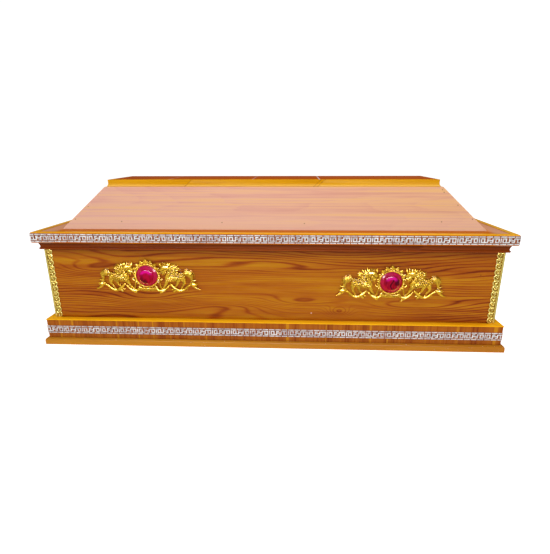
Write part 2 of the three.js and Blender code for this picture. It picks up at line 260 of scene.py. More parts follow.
def body_wood(name, turned):
    """A golden brown laminate with thin dark lines, with painted shade and a painted shadow line under the
    collar.
    """
    f = Finish(name, roughness=0.28, ior=1.22)
    # thin dark lines lie nearly level, bent by long hills
    hills = f.noise(f.place((0.8, 4.6, 4.6), (3.1, 0.4, 1.7), turned), detail=2, roughness=0.45)
    ripple = f.noise(f.place((4, 34, 34), (0, 2, 5), turned), detail=2)
    phase = f.axis("Z") * 66 + hills * 17 + ripple * 0.6
    weight = f.noise(f.place((0.9, 8, 8), (4, 1, 2), turned), detail=1).eased(0.34, 0.6)
    if not turned:
        for middle, reach, lines in BODY_FIGURE:
            eye = swelling(f, middle, reach)
            phase = phase + eye * lines
            weight = weight.most(eye * 0.95)
    line = ((phase * math.tau).sine() * 0.5 + 0.5) ** 5
    broad = f.noise(f.place((0.6, 11, 11), (1.3, 2.4, 0.6), turned), detail=2)
    streak = f.noise(f.place((2.6, 60, 60), (0, 0, 0), turned), detail=4, roughness=0.65)
    hair = fibres(f, turned, 12, 380)
    field = line * weight * 0.26 + broad * 0.34 + streak * 0.5 + hair * 0.16
    pale = ((0.38, tone(190, 126, 8)), (0.5, tone(177, 101, 6)))
    dark = ((0.61, tone(160, 77, 5)), (0.8, tone(116, 42, 4)))
    colour = f.ramp(field, pale + dark)
    # painted shade darkens the wall's top towards the collar
    painted_shade = f.axis("Z").eased(WALL_TOP - 0.043, WALL_TOP + 0.001)
    colour = f.mixed(painted_shade * 0.5, colour, tone(96, 40, 8))
    # a painted shadow line lies under the collar
    painted_collar_shadow = f.axis("Z").eased(WALL_TOP - 0.008, WALL_TOP - 0.002)
    colour = f.mixed(painted_collar_shadow * 0.6, colour, tone(48, 18, 4))
    if not turned:
        colour = f.mixed(f.near(PALE_FLECK, 3.2) * 0.8, colour, tone(226, 208, 184))
        colour = f.mixed(f.near(DARK_SPOT, 2.6) * 0.7, colour, tone(70, 28, 8))
    return f.finish(colour, hair, rough=(0.2, 0.16), bump=0.12)


def plinth_wood(name):
    """A brown veneer with upright grain and yellow stripes."""
    f = Finish(name, roughness=0.3, ior=1.22)
    broad = f.noise(f.place((30, 30, 0.9)), detail=2, roughness=0.6)
    fine = f.noise(f.place((170, 170, 2.5)), detail=2, roughness=0.6)
    glow = f.noise(f.place((42, 42, 1.2), (5, 5, 0)), detail=1)
    colour = f.ramp(
        broad * 0.6 + fine * 0.4,
        ((0.34, tone(134, 58, 6)), (0.5, tone(164, 86, 12)), (0.66, tone(184, 108, 16))),
    )
    colour = f.mixed(glow.eased(0.6, 0.68) * 0.75, colour, tone(206, 138, 14))
    return f.finish(colour, fine, rough=(0.22, 0.15), bump=0.12)


def skirting_wood(name, turned):
    """A caramel varnish with specks of dust, browner towards the right."""
    f = Finish(name, roughness=0.3, ior=1.25)
    stops = ((0.15, tone(202, 138, 34)), (0.45, tone(190, 124, 28)), (0.8, tone(172, 104, 22)))
    colour, hair = ringed(f, ((0.6, 12), 8, 0.3), stops, turned, fibre=(8, 300), shares=(0.3, 0.5))
    colour = f.mixed(f.axis("X").eased(-0.2, 1.0) * 0.5, colour, tone(176, 104, 20))
    dust = f.noise(f.place(), scale=160, detail=1).eased(0.74, 0.8)
    colour = f.mixed(dust * 0.8, colour, tone(232, 214, 190))
    return f.finish(colour, hair, rough=(0.2, 0.2), bump=0.1)


def collar_wood(name, turned):
    """A red-brown varnish, with painted shade where the rim keeps it from the light."""
    f = Finish(name, roughness=0.25, ior=1.2)
    stops = ((0.15, tone(158, 76, 16)), (0.45, tone(140, 62, 12)), (0.8, tone(112, 44, 8)))
    colour, hair = ringed(f, ((0.6, 14), 10, 0.4, (0, 0, 4)), stops, turned, fibre=(7, 320))
    # painted shade darkens the collar's top under the rim
    painted_shade = f.axis("Z").eased(RIM_FOOT - 0.025, RIM_FOOT - 0.003)
    colour = f.mixed(painted_shade * 0.75, colour, tone(62, 26, 8))
    return f.finish(colour, hair, rough=(0.18, 0.15), bump=0.1)


def rim_wood(name, turned):
    """An orange-brown varnish with a painted whitish reflection towards the ends."""
    f = Finish(name, roughness=0.3, ior=1.03)
    stops = ((0.15, tone(212, 122, 20)), (0.45, tone(200, 104, 14)), (0.8, tone(172, 82, 10)))
    colour, hair = ringed(f, ((0.6, 10), 8, 0.4, (2, 0, 2)), stops, turned)
    cloud = f.noise(f.place((5, 5, 5)), detail=2) - 0.5
    # a painted whitish reflection lies over the rim towards its ends
    painted_reflection = (abs(f.axis("X")) + cloud * 0.03).eased(0.895, 0.935)
    colour = f.mixed(painted_reflection * 0.85, colour, tone(200, 148, 118))
    return f.finish(colour, hair, rough=(0.2, 0.15), bump=0.08)


def slope_wood(name, turned):
    """A pale veneer with fine streaks, pinker to the left, tanner to the right and paler at its foot."""
    f = Finish(name, roughness=0.42, ior=1.12)
    rings = figured(f, turned, (0.5, 5), 22, 0.5, (0.6, 0, 7)) ** 3
    streak = f.noise(f.place((0.9, 30, 30), (0, 0, 3), turned), detail=3, roughness=0.55)
    line = f.noise(f.place((1.2, 120, 120), (0, 4, 1), turned), detail=3, roughness=0.6)
    hair = fibres(f, turned, 14, 300)
    field = rings * 0.05 + streak * 0.26 + line * 0.62 + hair * 0.1
    tan = ((0.4, tone(229, 181, 122)), (0.48, tone(227, 176, 140)))
    rosy = ((0.55, tone(218, 160, 140)), (0.66, tone(204, 141, 128)))
    colour = f.ramp(field, tan + rosy)
    pink = 1 - f.axis("X").eased(-0.95, 0.75)
    colour = f.mixed(pink * 0.4, colour, tone(232, 178, 162))
    sandy = f.axis("X").eased(-0.2, 0.9)
    colour = f.mixed(sandy * 0.35, colour, tone(226, 168, 112))
    foot = 1 - f.axis("Z").eased(SLOPE_FOOT, SLOPE_FOOT + 0.1)
    colour = f.mixed(foot * 0.5, colour, tone(252, 208, 188))
    if not turned:
        colour = f.mixed(f.specks(SLOPE_NAILS, 3) * 0.6, colour, tone(120, 74, 40))
    return f.finish(colour, hair, rough=(0.32, 0.2), bump=0.08)


def top_wood(name):
    """A red-brown varnish with faint pale lines across the board."""
    f = Finish(name, roughness=0.22, ior=1.02)
    stops = ((0.15, tone(192, 96, 14)), (0.45, tone(174, 78, 10)), (0.8, tone(146, 60, 8)))
    colour, hair = ringed(f, ((0.5, 9), 12, 0.4, (1, 3, 0)), stops)
    for at, share in TOP_LINES:
        line = f.axis("X").close_to(at * MM, 0.0015, 0.0035)
        colour = f.mixed(line * share, colour, tone(214, 204, 204))
    return f.finish(colour, hair, rough=(0.16, 0.15), bump=0.08)


def inside_wood(name):
    """Bare sawn board."""
    f = Finish(name, roughness=0.75)
    stops = ((0.15, tone(206, 168, 120)), (0.5, tone(190, 148, 100)), (0.85, tone(160, 116, 72)))
    colour, hair = ringed(f, ((0.9, 7), 12, 0.6), stops, shares=(0.4, 0.4))
    return f.finish(colour, hair, bump=0.3)


def yellow_edging(name, tones):
    """Golden yellow paint, with a painted highlight along the top moulding's foot, and smudged at its front
    splices.
    """
    f = Finish(name, roughness=0.3, ior=1.12)
    cloud = f.noise(f.place((2, 2, 14)), detail=2)
    brush = f.noise(f.place((6, 6, 300)), detail=2)
    colour = f.ramp(cloud * 0.6 + brush * 0.4, tuple(zip((0.3, 0.5, 0.7), tones)))
    # a painted highlight lies in a band along the top moulding's foot, where its lip would catch the light
    above = f.axis("Z").eased(MOULDING_FOOT - 0.0015, MOULDING_FOOT)
    foot = above * (1 - f.axis("Z").eased(MOULDING_FOOT + 0.0075, MOULDING_FOOT + 0.0095))
    colour = f.mixed(foot * 0.7, colour, tone(246, 196, 92))
    slant = f.axis("X") - (f.axis("Z") - MOULDING_MIDDLE) * SPLICE_LEAN
    splice = strongest(slant.close_to(at, 0.0006, 0.002) for at in SPLICES)
    front = f.axis("Z").eased(MOULDING_FOOT - 0.001, MOULDING_FOOT)
    front = front * (-f.axis("Y")).eased(MOULDING_FRONT - 0.002, MOULDING_FRONT)
    colour = f.mixed(splice * front * 0.75, colour, tone(150, 84, 14))
    return f.finish(colour, brush, rough=(0.24, 0.15), bump=0.06)


def silver_plate(name):
    """The raised pattern of the key strips."""
    f = Finish(name, roughness=0.3, metallic=0.15)
    wear = f.noise(f.place(), scale=90, detail=3)
    cloud = f.noise(f.place(), scale=14, detail=2)
    colour = f.ramp(
        wear * 0.5 + cloud * 0.5,
        ((0.35, tone(190, 178, 178)), (0.5, tone(228, 228, 228)), (0.65, tone(250, 254, 252))),
    )
    return f.finish(colour, wear, rough=(0.16, 0.25), bump=0.1)


def strip_ground(name):
    """The brown ground of the key strips."""
    f = Finish(name, roughness=0.4)
    cloud = f.noise(f.place(), scale=60, detail=3)
    colour = f.ramp(cloud, ((0.35, tone(124, 58, 18)), (0.65, tone(166, 92, 42))))
    return f.finish(colour, cloud, rough=(0.3, 0.2), bump=0.15)


def gilt_plate(name, thickness, tones):
    """Plated relief, with painted shade in its grooves and where it lies low on the walls, and a painted
    highlight on its crests.
    """
    f = Finish(name, roughness=0.22, metallic=0.42, coat=0.9, coat_roughness=0.08)
    cast = f.noise(f.place(), scale=240, detail=3)
    cloud = f.noise(f.place(), scale=34, detail=2)
    # painted shade: the relief is darker where it lies low on the wall and brighter where it stands out
    off_wall = (abs(f.axis("Y")) - WALL_FRONT).most(abs(f.axis("X")) - WALL_END)
    painted_shade_height = off_wall.eased(0, 0.8 * thickness)
    colour = f.ramp(painted_shade_height * 0.72 + cloud * 0.26 + cast * 0.1, tuple(zip((0.2, 0.42, 0.66, 0.9), tones)))
    # random patches of painted shade in the darkest tone stand in for crevices
    painted_shade_patches = 1 - f.noise(f.place(), scale=115, detail=1).eased(0.36, 0.48)
    colour = f.mixed(painted_shade_patches * 0.5, colour, tones[0])
    bend = f.node("ShaderNodeNewGeometry", outlet="Pointiness")
    # painted shade in the grooves, where the skin bends inwards
    colour = f.mixed((1 - bend.eased(0.475, 0.5)) * 0.85, colour, tone(92, 48, 0))
    # a painted highlight on the crests, where the skin bends outwards
    colour = f.mixed(bend.eased(0.51, 0.56) * 0.6, colour, tones[3])
    return f.finish(colour, cast, rough=(0.1, 0.2), bump=0.4, distance=0.0008)


def jewel_glass(name, red, painted_top_glow, centre=None, streaked=False, polish=0.05):
    """Clouded red glass, with a painted magenta glow towards its top and round a centre given as x and z in
    mm.
    """
    f = Finish(name, roughness=0.06, ior=1.5)
    folds = f.noise(f.place((30, 30, 11)), detail=2, distortion=1.6)
    colour = f.ramp(folds, tuple(zip((0.34, 0.45, 0.56, 0.7), red)))
    # a painted magenta glow grows towards the top of the dome
    upper = f.axis("Z").eased(JEWEL_HEIGHT - 0.009, JEWEL_HEIGHT + 0.051)
    colour = f.mixed(upper * 0.7, colour, painted_top_glow)
    if centre:
        # the painted glow is a crescent under the upper part of the dome
        across = f.axis("X") - centre[0] * MM
        above = f.axis("Z") - centre[1] * MM
        away = (across * across + above * above) ** 0.5
        painted_glow_crescent = away.eased(0.013, 0.019) * (1 - away.eased(0.025, 0.031)) * above.eased(0.004, 0.017)
        colour = f.mixed(painted_glow_crescent * 0.8, colour, tone(232, 14, 150))
    if streaked:
        # a dark curl down the middle, and a dark patch beside it
        rise = f.axis("Z") - JEWEL_HEIGHT
        curl = ((rise - 0.014) * (math.tau / 0.05)).cosine() * 0.0055 + JEWEL_OFF_MIDDLE
        line = abs(f.axis("X")).close_to(curl, 0.0018, 0.005) * rise.close_to(-0.01, 0.022, 0.03)
        patch = swelling(f, (544, 302), (11, 20)).most(swelling(f, (494, 302), (6, 15)) * 0.6)
        colour = f.mixed(line.most(patch) * 0.85, colour, tone(58, 0, 22))
    return f.finish(colour, folds, rough=(polish, 0.06))


# Eyes and peaks in the walls' grain: middle and reach as x and z in mm, and how many lines they hold
BODY_FIGURE = (
    ((-520, 205), (190, 34), 3.6),
    ((-210, 178), (230, 34), -3.8),
    ((304, 160), (52, 26), 5.2),
    ((150, 205), (170, 30), 2.8),
    ((640, 190), (240, 32), 3.2),
    ((60, 380), (260, 30), -2.6),
    ((-760, 340), (170, 36), 3),
)

# Nail heads on the lid's front slope, as x, y and z in mm
SLOPE_NAILS = (
    (-809.7, -192.2, 598.9),
    (-860.3, -221.3, 547.2),
    (-650.4, -226.4, 538.3),
    (-207.1, -227.6, 536.0),
    (149.0, -229.1, 533.5),
    (727.5, -224.3, 542.1),
    (741.2, -152.6, 669.3),
    (747.2, -158.7, 658.5),
    (800.9, -187.5, 607.3),
    (856.2, -218.3, 552.6),
)

# Marks on the front wall, as x, y and z in mm
PALE_FLECK = (184, -308, 153)
DARK_SPOT = (883.8, -308, 333.8)

# The top board's pale lines: x in mm, and how strong each is
TOP_LINES = ((-457, 0.3), (-81, 0.3), (214, 0.75))

# The slanting splices of the front moulding: x at its middle height in metres, and x per rise
SPLICES = (-0.366, 0.222, 0.205)
SPLICE_LEAN = 1.097


def both_ways(make, name):
    """The same finish with its grain along the length, and along the width."""
    return {False: make(name, False), True: make(name + "_across", True)}


body = both_ways(body_wood, "body_wood")
skirting = both_ways(skirting_wood, "skirting_wood")
collar = both_ways(collar_wood, "collar_wood")
rim = both_ways(rim_wood, "rim_wood")
slope = both_ways(slope_wood, "slope_wood")
plinth = plinth_wood("plinth_wood")
top = top_wood("top_wood")
inside = inside_wood("inside_wood")
yellow = yellow_edging("yellow_edging", (tone(228, 168, 8), tone(218, 154, 4), tone(202, 134, 2)))
bright = yellow_edging("bright_edging", (tone(255, 190, 22), tone(250, 176, 12), tone(240, 156, 8)))
# the ledges take a lighter copy of the paint: painted light for the light they miss
ledge_painted_light = yellow_edging("ledge_painted_light_edging", (tone(255, 198, 28), tone(255, 186, 18), tone(248, 166, 12)))
dull = yellow_edging("dull_edging", (tone(222, 170, 62), tone(212, 156, 46), tone(196, 136, 34)))
silver = silver_plate("silver_plate")
ground = strip_ground("strip_ground")
gilt = gilt_plate(
    "gilt_plate",
    0.011,
    (tone(112, 50, 0), tone(200, 120, 0), tone(234, 168, 6), tone(254, 204, 50)),
)
pale_gilt = gilt_plate(
    "pale_gilt_plate",
    0.0026,
    (tone(150, 100, 12), tone(224, 180, 44), tone(248, 216, 80), tone(255, 236, 130)),
)
CRIMSON = (tone(96, 0, 20), tone(146, 0, 20), tone(172, 0, 40), tone(112, 0, 22))
glass = {
    "left": jewel_glass("jewel_glass_left", CRIMSON, tone(188, 0, 70), (-529, 317)),
    "right": jewel_glass("jewel_glass_right", CRIMSON, tone(180, 0, 88), (517, 299), streaked=True),
}
bevel = jewel_glass(
    "jewel_bevel",
    (tone(130, 2, 26), tone(166, 4, 36), tone(186, 12, 58), tone(140, 4, 30)),
    tone(198, 22, 92),
    polish=0.16,
)


# Making pieces

# A shape's own x, y and height, stood up against the front wall
UPRIGHT = Matrix(((1, 0, 0, 0), (0, 0, -1, 0), (0, 1, 0, 0), (0, 0, 0, 1)))


def as_mesh(name, shape):
    """The shape as a mesh, with the shape itself let go."""
    mesh = bpy.data.meshes.new(name)
    shape.to_mesh(mesh)
    shape.free()
    return mesh


def placed(name, data):
    """A new object in the scene."""
    holder = bpy.data.objects.new(name, data)
    scene.collection.objects.link(holder)
    return holder


def bevelled(shape, edges, width, segments):
    """Some of a shape's edges taken off by a width in mm."""
    bmesh.ops.bevel(
        shape,
        geom=edges,
        offset=width * MM,
        affect="EDGES",
        segments=segments,
        profile=0.5,
        material=-1,
        clamp_overlap=True,
    )


def new_piece(name, shape, finishes, replaced, smooth):
    """A visible piece in place of solids, shaded smooth up to an angle in degrees."""
    mesh = as_mesh(name, shape)
    for finish in finishes:
        mesh.materials.append(finish.material)
    mesh.shade_smooth()
    mesh.set_sharp_from_angle(angle=math.radians(smooth))
    piece = placed(name, mesh)
    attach(piece, BODY)
    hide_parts(*replaced)


def eased_board(name, finish, width):
    """The solid's own board with its arrises taken off by a width in mm."""
    shape = bmesh.new()
    shape.from_mesh(nodes[name].data)
    bmesh.ops.remove_doubles(shape, verts=shape.verts, dist=0.01 * MM)
    bmesh.ops.dissolve_limit(shape, angle_limit=math.radians(0.5), verts=shape.verts, edges=shape.edges)
    sharp = math.radians(24)
    arrises = [edge for edge in shape.edges if edge.is_manifold and edge.calc_face_angle() > sharp]
    bevelled(shape, arrises, width, 2)
    new_piece(name + "_eased", shape, [finish], [name], smooth=30)


def dress(name, finish):
    """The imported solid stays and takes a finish."""
    for holder in nodes[name].material_slots:
        holder.material = finish.material


# The boards

dress("bottom_board", inside)
for side in SIDES:
    turned = TURNED[side]
    dress("wall_" + side, body[turned])
    eased_board("plinth_" + side, plinth, 0.8)
    eased_board("skirting_" + side, skirting[turned], 1.2)
    eased_board("ledge_" + side, ledge_painted_light, 0.7)
    eased_board("collar_" + side, collar[turned], 0.6)
    eased_board("lid_rim_" + side, rim[turned], 0.8)
    eased_board("lid_border_" + side, dull if turned else bright, 0.5)
    eased_board("lid_slope_" + side, slope[turned], 0.8)
eased_board("lid_top_board", top, 0.6)
for place in ("front_left", "front_middle", "front_right", "right", "back", "left"):
    eased_board("lid_top_moulding_" + place, yellow, 0.4)


# The silver key strips

# One repeat of the pattern: raised where there is a mark, and bare ground where there is a dot
KEY_PERIOD = (
    "######.######.######.",
    ".....................",
    "#.####..###..#######.",
    "#.#..#..#....#..#..#.",
    "#.#..#..######..#..#.",
    "#.#..#..#....#..#..#.",
    "#.#######..###..####.",
    ".....................",
    "######.######.######.",
)

# The width in mm of the bevel along the pattern's edges
KEY_LIP = 0.45
# The strip's measures in metres
KEY_REPEAT = 84 * MM
KEY_MARGIN = 1.2 * MM
KEY_BARE_END = 2 * MM
# How far the pattern's top and the ground lie behind the solid's face, and how deep the pattern is rooted
KEY_TOP = 0.1 * MM
KEY_GROUND = 1.3 * MM
KEY_ROOT = 0.3 * MM
GROUND_THICKNESS = 0.9 * MM
GROUND_BARE_END = 1 * MM


def only(kind, parts):
    """Those of a shape's parts that are of one kind."""
    return [part for part in parts if isinstance(part, kind)]


def key_unit(width, height):
    """One repeat of the meander, flat: the squares of the pattern that are raised."""
    columns, rows = len(KEY_PERIOD[0]), len(KEY_PERIOD)
    shape = bmesh.new()
    bmesh.ops.create_grid(shape, x_segments=columns, y_segments=rows, size=0.5)
    bmesh.ops.scale(shape, vec=(width, height, 1), verts=shape.verts)
    bmesh.ops.translate(shape, vec=(width / 2, height / 2, 0), verts=shape.verts)
    empty = []
    for face in shape.faces:
        middle = face.calc_center_median()
        column = int(middle.x / width * columns)
        row = rows - 1 - int(middle.y / height * rows)
        if KEY_PERIOD[row][column] != "#":
            empty.append(face)
    bmesh.ops.delete(shape, geom=empty, context="FACES")
    return shape


def meander(half, foot, head):
    """The pattern repeated over a strip, flat, and cut off square near the strip's ends."""
    shape = key_unit(KEY_REPEAT, head - foot - 2 * KEY_MARGIN)
    repeats = math.ceil(half / KEY_REPEAT) * 2
    unit = shape.faces[:] + shape.edges[:] + shape.verts[:]
    for count in range(1, repeats):
        moved = only(bmesh.types.BMVert, bmesh.ops.duplicate(shape, geom=unit)["geom"])
        bmesh.ops.translate(shape, vec=(count * KEY_REPEAT, 0, 0), verts=moved)
    bmesh.ops.remove_doubles(shape, verts=shape.verts, dist=0.01 * MM)
    bmesh.ops.translate(shape, vec=(-repeats * KEY_REPEAT / 2, foot + KEY_MARGIN, 0), verts=shape.verts)
    for end in (-1, 1):
        bmesh.ops.bisect_plane(
            shape,
            geom=shape.verts[:] + shape.edges[:] + shape.faces[:],
            plane_co=(end * (half - KEY_BARE_END), 0, 0),
            plane_no=(end, 0, 0),
            clear_outer=True,
            dist=0.001 * MM,
        )
    bmesh.ops.dissolve_limit(shape, angle_limit=math.radians(1), verts=shape.verts, edges=shape.edges)
    return shape


def key_strip(name, side):
    """A thin ground with the meander raised on it, turned to its side of the coffin."""
    low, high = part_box(name)
    turned = TURNED[side]
    half = (high.y - low.y) / 2 if turned else (high.x - low.x) / 2
    reach = max(abs(low.x), abs(high.x)) if turned else max(abs(low.y), abs(high.y))
    foot, head = low.z, high.z
    ground_out = reach - KEY_GROUND
    shape = meander(half, foot, head)
    raised = bmesh.ops.extrude_face_region(shape, geom=shape.faces[:])["geom"]
    rise = (0, 0, KEY_GROUND - KEY_TOP + KEY_ROOT)
    bmesh.ops.translate(shape, vec=rise, verts=only(bmesh.types.BMVert, raised))
    crown = only(bmesh.types.BMFace, raised)
    lip = [edge for face in crown for edge in face.edges if edge.calc_face_angle(0) > 1]
    bevelled(shape, list(dict.fromkeys(lip)), KEY_LIP, 1)
    bmesh.ops.recalc_face_normals(shape, faces=shape.faces)
    bmesh.ops.translate(shape, vec=(0, 0, ground_out - KEY_ROOT), verts=shape.verts)
    plate = bmesh.ops.create_cube(shape, size=1)["verts"]
    size = (2 * (half - GROUND_BARE_END), head - foot, GROUND_THICKNESS)
    bmesh.ops.scale(shape, vec=size, verts=plate)
    centre = (0, (foot + head) / 2, ground_out - GROUND_THICKNESS / 2)
    bmesh.ops.translate(shape, vec=centre, verts=plate)
    for face in {face for vert in plate for face in vert.link_faces}:
        face.material_index = 1
    turn = Matrix.Rotation(SIDES.index(side) * math.pi / 2, 4, "Z")
    bmesh.ops.transform(shape, matrix=turn @ UPRIGHT, verts=shape.verts)
    new_piece(name + "_relief", shape, [silver, ground], [name], smooth=30)


for side in SIDES:
    key_strip("plinth_key_strip_" + side, side)
    key_strip("lid_key_strip_" + side, side)


# Castings: strands of x, y, height and radius in mm, fused into one skin


def settled(holder):
    """What an object's curve or modifiers come to, with the object itself removed."""
    bpy.context.view_layer.update()
    graph = bpy.context.evaluated_depsgraph_get()
    made = bpy.data.meshes.new_from_object(holder.evaluated_get(graph))
    shape = bmesh.new()
    shape.from_mesh(made)
    bpy.data.objects.remove(holder)
    bpy.data.meshes.remove(made)
    return shape


def strands_shape(name, strands, sections=4):
    """Round strands of changing thickness, as one bmesh."""
    curve = bpy.data.curves.new(name, "CURVE")
    curve.dimensions = "3D"
    curve.bevel_depth = MM
    curve.bevel_resolution = 2
    curve.resolution_u = sections
    curve.use_fill_caps = True
    for strand in strands:
        spline = curve.splines.new("NURBS")
        spline.points.add(len(strand) - 1)
        for point, (x, y, out, radius) in zip(spline.points, strand):
            point.co = (x * MM, y * MM, out * MM, 1)
            point.radius = radius
        spline.order_u = min(3, len(strand))
        spline.use_endpoint_u = True
    shape = settled(placed(name, curve))
    bpy.data.curves.remove(curve)
    return shape


def bead(shape, x, y, out, radius, fineness=2):
    """A ball added to the shape, in mm."""
    place = Matrix.Translation((x * MM, y * MM, out * MM))
    bmesh.ops.create_icosphere(shape, subdivisions=fineness, radius=radius * MM, matrix=place)


# A casting's fineness and its back's height over the wall in mm, and how much its relief is pressed flat
CASTING_VOXEL = 1.27
CASTING_BACK = 0.3
CASTING_FLATTEN = 0.86


def fused(name, shape):
    """One closed skin round everything in the shape, pressed flatter and cut level at the back."""
    bmesh.ops.scale(shape, vec=(1, 1, CASTING_FLATTEN), verts=shape.verts)
    mesh = as_mesh(name, shape)
    holder = placed(name, mesh)
    skin = holder.modifiers.new("skin", "REMESH")
    skin.mode = "VOXEL"
    skin.voxel_size = CASTING_VOXEL * MM
    polish = holder.modifiers.new("polish", "SMOOTH")
    polish.factor = 0.5
    polish.iterations = 1
    casting = settled(holder)
    bpy.data.meshes.remove(mesh)
    for vert in casting.verts:
        vert.co.z = max(vert.co.z, CASTING_BACK * MM)
    return casting


def lock(x, y, angle, length, bend, width, out, steps=5):
    """A lock of hair or a leaf: it leaves at an angle, bends evenly and runs out to a point."""
    heading = math.radians(angle)
    strand = []
    for step in range(steps):
        share = step / (steps - 1)
        swell = 0.75 + 0.5 * math.sin(math.pi * min(1, share * 1.4))
        strand.append((x, y, out * (1 - 0.25 * share * share), width * swell * (1 - 0.8 * share * share)))
        heading += math.radians(bend) / (steps - 1)
        x += math.cos(heading) * length / (steps - 1)
        y += math.sin(heading) * length / (steps - 1)
    return strand


def spiral(x, y, radius, start, turns, width, out):
    """A curl that winds inwards from its start angle."""
    steps = max(6, int(abs(turns) * 9))
    strand = []
    for step in range(steps):
        share = step / (steps - 1)
        angle = math.radians(start) + turns * math.tau * share
        reach = radius * (1 - 0.72 * share)
        thin = width * (1 - 0.35 * share)
        strand.append((x + reach * math.cos(angle), y + reach * math.sin(angle), out, thin))
    return strand


def beast(chance):
    """The left beast of an ornament, prancing to the right."""
    strands = [
        # trunk
        [(-166, 0, -4, 11), (-156, 1, -3, 17), (-140, -4, -4, 18), (-122, -6, -4, 19), (-104, -5, -4, 20),
         (-90, -6, -3, 17), (-80, -8, -1, 9)],
        [(-161, 8, 2, 9), (-155, 3, 3, 14.5), (-152, -9, 3, 12), (-153, -20, 3, 8)],
        [(-100, 4, 3, 14), (-89, -3, 5, 12.5), (-86, -16, 5, 9)],
        # hind legs
        [(-156, -8, 5, 12), (-163, -24, 5, 8.5), (-161, -36, 4, 5), (-151, -48, 4, 4.2), (-147, -60, 4, 3.8),
         (-141, -65, 4, 5), (-134, -65, 3, 3)],
        [(-143, -10, 4, 10), (-134, -26, 4, 7.5), (-131, -38, 4, 4.8), (-120, -50, 4, 3.8),
         (-113, -60, 4, 3.8), (-106, -63, 4, 4.6), (-101, -62, 3, 3)],
        # forelegs
        [(-91, -16, 7, 10), (-82, -33, 6, 6.5), (-76, -45, 5, 4.6), (-64, -60, 4, 4), (-58, -67, 4, 4.8),
         (-52, -67, 3, 3)],
        # neck and head
        [(-120, 6, -5, 18), (-113, 18, -5, 20), (-103, 28, -4, 19), (-90, 36, 1, 13)],
        [(-96, 39, 8, 11), (-84, 41, 10, 11.5), (-74, 38, 10, 9.5), (-66, 31, 9, 7), (-61, 24, 7, 4.6)],
        [(-84, 27, 7, 6.5), (-74, 20, 7, 5), (-65, 16, 6, 4), (-60, 19, 4, 2.4)],
        # brow, nose, ear and horn
        [(-82, 46, 13, 2.5), (-75, 46, 15, 3.6), (-68, 40, 14, 2.6)],
        [(-66, 34, 12, 2), (-60, 31, 11, 3.8), (-58, 25, 8, 2.4)],
        [(-86, 46, 9, 4.4), (-85, 54, 8, 3.8), (-79, 59, 5, 1.4)],
        [(-94, 46, 8, 4.4), (-96, 55, 7, 3.8), (-92, 61, 4, 1.4)],
        # tail
        [(-160, 8, 0, 8), (-170, 15, -1, 12), (-182, 17, -1, 14), (-192, 7, 0, 11), (-195, -6, 3, 8),
         (-196, -18, 3, 6), (-200, -30, 4, 5)],
        # leaves at the outer end
        [(-186, -33, 4, 4), (-197, -37, 8, 10), (-210, -38, 8, 9), (-219, -36, 4, 2)],
        [(-192, -26, 5, 3.4), (-203, -20, 6, 5.2), (-215, -17, 4, 1.4)],
        [(-200, -44, 5, 6), (-211, -52, 5, 5.4), (-220, -59, 4, 4.6), (-227, -60, 3, 3)],
        # vines
        [(-192, -39, 4, 5.4), (-179, -43, 4, 5), (-169, -53, 4, 5), (-159, -62, 4, 5.4), (-147, -67, 5, 5.8),
         (-134, -66, 5, 6), (-122, -59, 6, 7.4), (-112, -50, 5, 6), (-105, -41, 4, 5), (-98, -37, 4, 5)],
        [(-127, -58, 6, 3.6), (-119, -66, 7, 8), (-111, -73, 4, 3)],
        [(-172, -50, 4, 3), (-175, -60, 4, 3.6), (-170, -66, 3, 1.6)],
        [(-94, -42, 4, 4), (-88, -52, 4, 5), (-77, -62, 5, 5.6), (-63, -69, 6, 8.4), (-50, -68, 5, 6),
         (-39, -60, 5, 5.4), (-28, -55, 4, 5)],
        [(-72, -64, 6, 4.4), (-61, -73, 7, 7.6), (-50, -79, 4, 2.4)],
        # the sprout beside the setting, and the hook at its top
        [(-60, -62, 3, 4), (-57, -50, 4, 3.6), (-54, -38, 4, 3.2), (-51, -26, 5, 3.4), (-46, -20, 5, 3.6)],
        [(-66, -10, 4, 2), (-64, -17, 5, 4), (-56, -21, 6, 4.4), (-46, -19, 5, 3.6)],
    ]
    # mane: rows of locks swept back from the face
    for row in (3, 2, 1, 0):
        for count, angle in enumerate(range(52 + 6 * (row % 2), 262, (24, 18, 14, 12)[row])):
            reach = 15 + 10 * row + 2 * chance.random()
            upright = math.sin(math.radians(angle))
            x = -85 + reach * math.cos(math.radians(angle))
            y = 32 + reach * upright * (0.36 if upright > 0 else 0.8)
            heading = 180 + (angle - 180) * 0.62
            out = 15.5 - 2.6 * row - 2 * abs(upright) - 3 * (count % 2)
            strands.append(lock(x, y, heading, 15 + 4 * chance.random(), chance.uniform(-40, 15), 3.3, out))
    for x, y, start in ((-114, 12, 200), (-108, 28, 150), (-97, 14, 260), (-124, 24, 110)):
        strands.append(spiral(x, y, 6.5, start, -1.1, 2.4, 16))
    # coat: low locks that follow the round of the trunk
    for column in range(10):
        x = -164 + 8 * column
        middle = 1 - 0.16 * (x + 156)
        for down in (-14, -7, 0, 7, 13):
            round_out = math.sqrt(18.5**2 - down * down) - 3.6
            tilt = 186 + chance.uniform(-12, 12)
            start = x + 4 * (down % 2) + chance.random()
            strands.append(lock(start, middle + down, tilt, 10, 30, 2.3, round_out))
    # beard
    for x, y, angle in ((-82, 20, 262), (-76, 16, 272), (-70, 14, 284)):
        strands.append(lock(x, y, angle, 14, -40, 2.8, 9))
